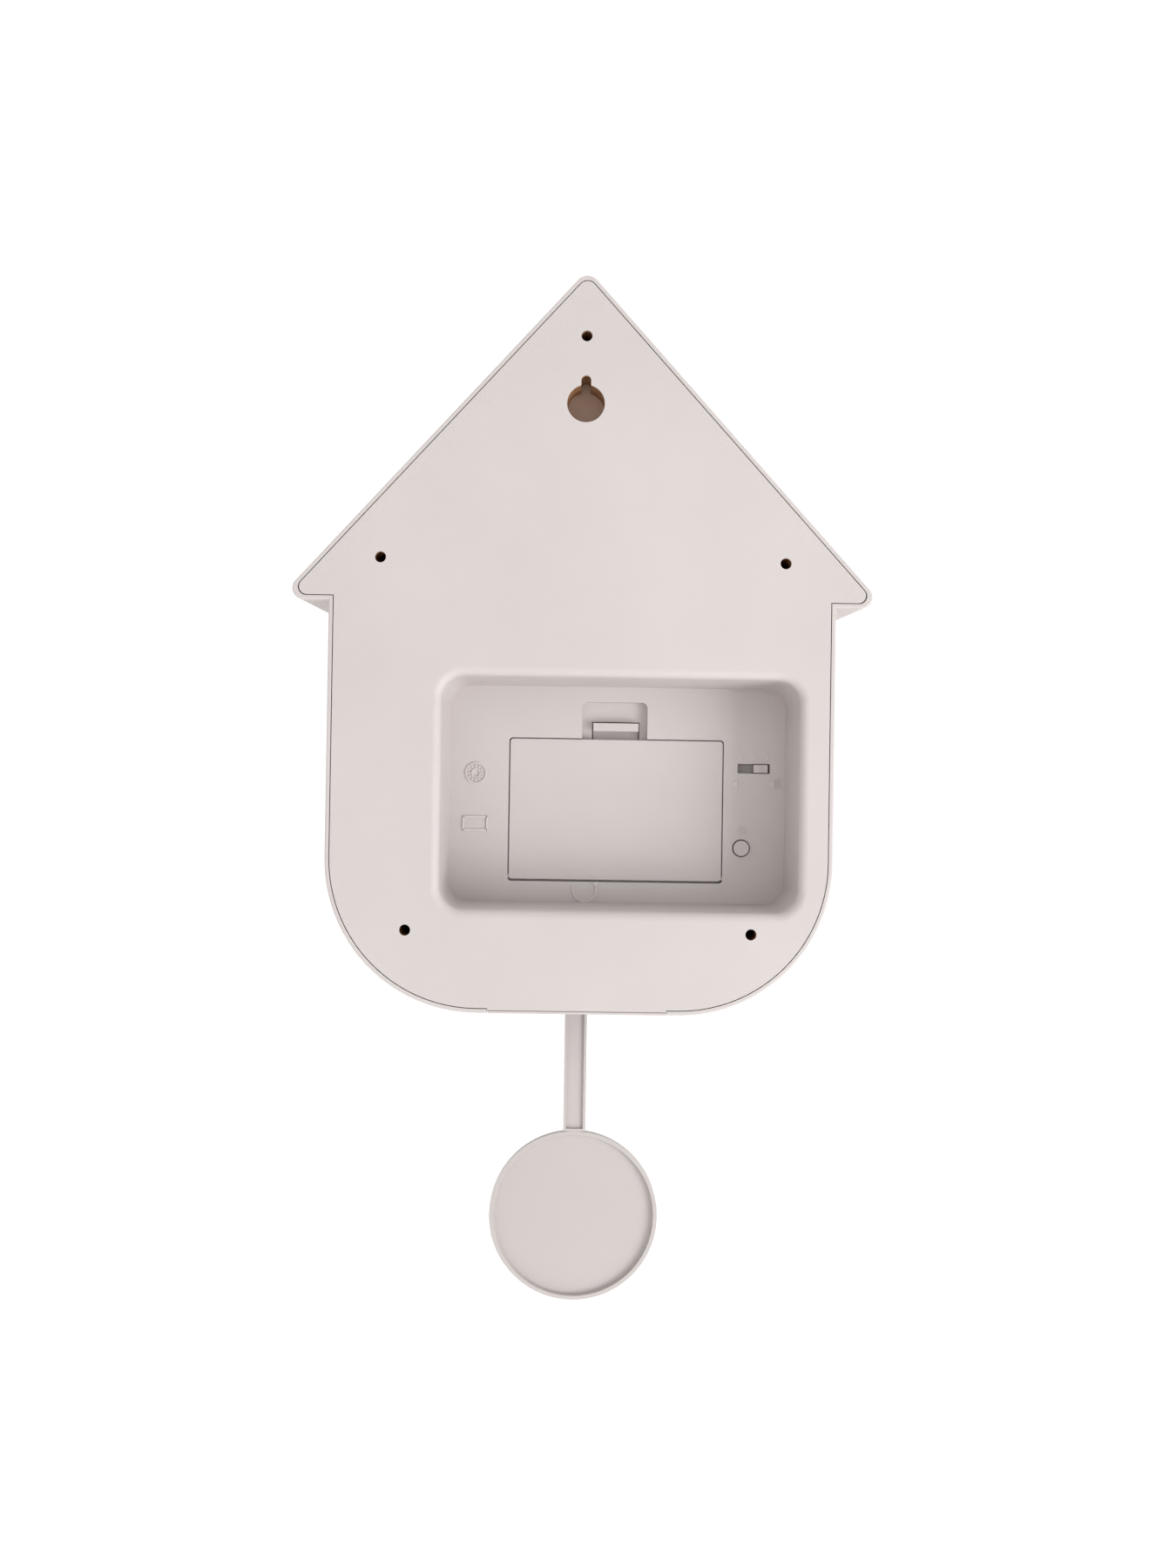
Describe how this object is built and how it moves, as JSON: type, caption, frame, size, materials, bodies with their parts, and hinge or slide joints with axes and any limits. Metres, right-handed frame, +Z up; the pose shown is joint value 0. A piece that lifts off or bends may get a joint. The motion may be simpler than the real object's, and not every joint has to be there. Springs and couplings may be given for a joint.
{
  "type": "cuckoo clock",
  "caption": "House-shaped wall clock with a dial, a cuckoo behind a small door, a swinging pendulum, and a battery recess and keyhole hanger in its back.",
  "frame": {"origin": "centre of the upper end of the hanging slot, on the flat back plane where the wall hook carries the clock", "axes": "+Z up; +Y out of the back towards the wall; the dial faces -Y; +X is to the right when the dial is looked at"},
  "size_m": [0.1872, 0.068, 0.339],
  "materials": {
    "case_plastic": "fine matt texture",
    "pendulum_plastic": "satin",
    "door_plastic": "matt",
    "dial_face": "matt print",
    "dark_plastic": "satin",
    "white_gear": "semi-matt acetal",
    "steel": "zinc plated",
    "magnet": "dark nickel",
    "copper_wire": "enamelled",
    "board": "solder mask",
    "cell_wrap": "shrink film",
    "bird_white": "satin paint",
    "beak_orange": "satin paint",
    "eye_black": "gloss"
  },
  "bodies": {
    "case": {"front_shell": "case_plastic", "rear_cover": "case_plastic", "case_screws": "steel", "battery_cell_upper": "cell_wrap", "battery_cell_lower": "cell_wrap", "battery_contacts": "steel", "battery_springs": "steel", "slide_switch": "case_plastic", "tact_switch": "dark_plastic", "switch_board": "board", "speaker_basket": "steel", "speaker_cone": "dark_plastic", "speaker_magnet": "magnet", "sound_board": "board", "sound_chip": "dark_plastic", "movement_housing": "dark_plastic", "movement_front_plate": "dark_plastic", "movement_board": "board", "quartz_crystal": "steel", "stator": "steel", "coil_bobbin": "white_gear", "coil_winding": "copper_wire", "dial_plate": "dial_face", "hour_marks": "dark_plastic", "dial_ring": "door_plastic", "door_hinge_pin": "steel", "carriage_guide": "white_gear", "cuckoo_motor": "steel", "pendulum_pin": "steel", "pendulum_bracket": "white_gear", "pendulum_coil": "copper_wire"},
    "minute_hand_group": {"centre_wheel": "white_gear", "minute_hand": "dark_plastic", "hand_cap": "dark_plastic"},
    "hour_hand_group": {"hour_wheel": "white_gear", "hour_hand": "dark_plastic"},
    "minute_wheel_group": {"minute_wheel": "white_gear"},
    "intermediate_group": {"intermediate_wheel": "white_gear"},
    "rotor_group": {"rotor_pinion": "white_gear", "rotor_magnet": "magnet"},
    "set_knob_group": {"set_knob": "dark_plastic"},
    "bird_group": {"bird_body": "bird_white", "bird_beak": "beak_orange", "bird_eyes": "eye_black", "bird_carriage": "white_gear"},
    "cuckoo_door_group": {"cuckoo_door": "door_plastic"},
    "drive_wheel_group": {"drive_wheel": "white_gear"},
    "motor_pinion_group": {"motor_pinion": "white_gear"},
    "battery_door_group": {"battery_door": "case_plastic"},
    "volume_knob_group": {"volume_knob": "case_plastic"},
    "set_button_group": {"set_button": "case_plastic"},
    "pendulum_group": {"pendulum_rod": "pendulum_plastic", "pendulum_disc": "pendulum_plastic", "pendulum_magnet": "magnet"}
  },
  "joints": [
    {"name": "minute_hand_turn", "type": "hinge", "parent": "case", "child": "minute_hand_group", "pos_m": [0, -0.056, -0.136], "axis": [0, 1, 0], "continuous": true},
    {"name": "hour_hand_turn", "type": "hinge", "parent": "case", "child": "hour_hand_group", "pos_m": [0, -0.06, -0.136], "axis": [0, 1, 0], "continuous": true},
    {"name": "minute_wheel_turn", "type": "hinge", "parent": "case", "child": "minute_wheel_group", "pos_m": [0.00758, -0.058, -0.1453], "axis": [0, 1, 0], "continuous": true},
    {"name": "intermediate_wheel_turn", "type": "hinge", "parent": "case", "child": "intermediate_group", "pos_m": [-0.01278, -0.055, -0.13135], "axis": [0, 1, 0], "continuous": true},
    {"name": "rotor_turn", "type": "hinge", "parent": "case", "child": "rotor_group", "pos_m": [-0.01465, -0.054, -0.12071], "axis": [0, 1, 0], "continuous": true},
    {"name": "set_knob_turn", "type": "hinge", "parent": "case", "child": "set_knob_group", "pos_m": [0, -0.05, -0.1546], "axis": [0, 1, 0], "continuous": true},
    {"name": "bird_slide", "type": "slide", "parent": "case", "child": "bird_group", "axis": [0, -1, 0], "range_m": [0, 0.025]},
    {"name": "cuckoo_door_swing", "type": "hinge", "parent": "case", "child": "cuckoo_door_group", "pos_m": [0.0156, -0.0668, -0.04], "axis": [0, 0, 1], "range_deg": [0, 100]},
    {"name": "drive_wheel_turn", "type": "hinge", "parent": "case", "child": "drive_wheel_group", "pos_m": [-0.01, -0.036, -0.054], "axis": [0, 0, 1], "range_deg": [-185, 0]},
    {"name": "motor_pinion_turn", "type": "hinge", "parent": "case", "child": "motor_pinion_group", "pos_m": [-0.022, -0.036, -0.054], "axis": [0, 0, 1], "range_deg": [0, 365]},
    {"name": "battery_door_swing", "type": "hinge", "parent": "case", "child": "battery_door_group", "pos_m": [-0.0124, -0.028, -0.1614], "axis": [-1, 0, 0], "range_deg": [0, 95]},
    {"name": "volume_slide", "type": "slide", "parent": "case", "child": "volume_knob_group", "axis": [1, 0, 0], "range_m": [0, 0.0046]},
    {"name": "set_button_press", "type": "slide", "parent": "case", "child": "set_button_group", "axis": [0, -1, 0], "range_m": [0, 0.0007], "stiffness_N_per_m": 300},
    {"name": "pendulum_swing", "type": "hinge", "parent": "case", "child": "pendulum_group", "pos_m": [0, -0.032, -0.1695], "axis": [0, 1, 0], "range_deg": [-12, 12]}
  ],
  "couplings": [
    {"joint": "hour_hand_turn", "follows": "minute_hand_turn", "ratio": 0.083333},
    {"joint": "minute_wheel_turn", "follows": "minute_hand_turn", "ratio": -0.33333},
    {"joint": "intermediate_wheel_turn", "follows": "minute_hand_turn", "ratio": -7.5},
    {"joint": "rotor_turn", "follows": "minute_hand_turn", "ratio": 60},
    {"joint": "set_knob_turn", "follows": "minute_hand_turn", "ratio": 1},
    {"joint": "cuckoo_door_swing", "follows": "bird_slide", "rad_per_m": 68},
    {"joint": "drive_wheel_turn", "follows": "bird_slide", "rad_per_m": -125},
    {"joint": "motor_pinion_turn", "follows": "bird_slide", "rad_per_m": 250}
  ]
}
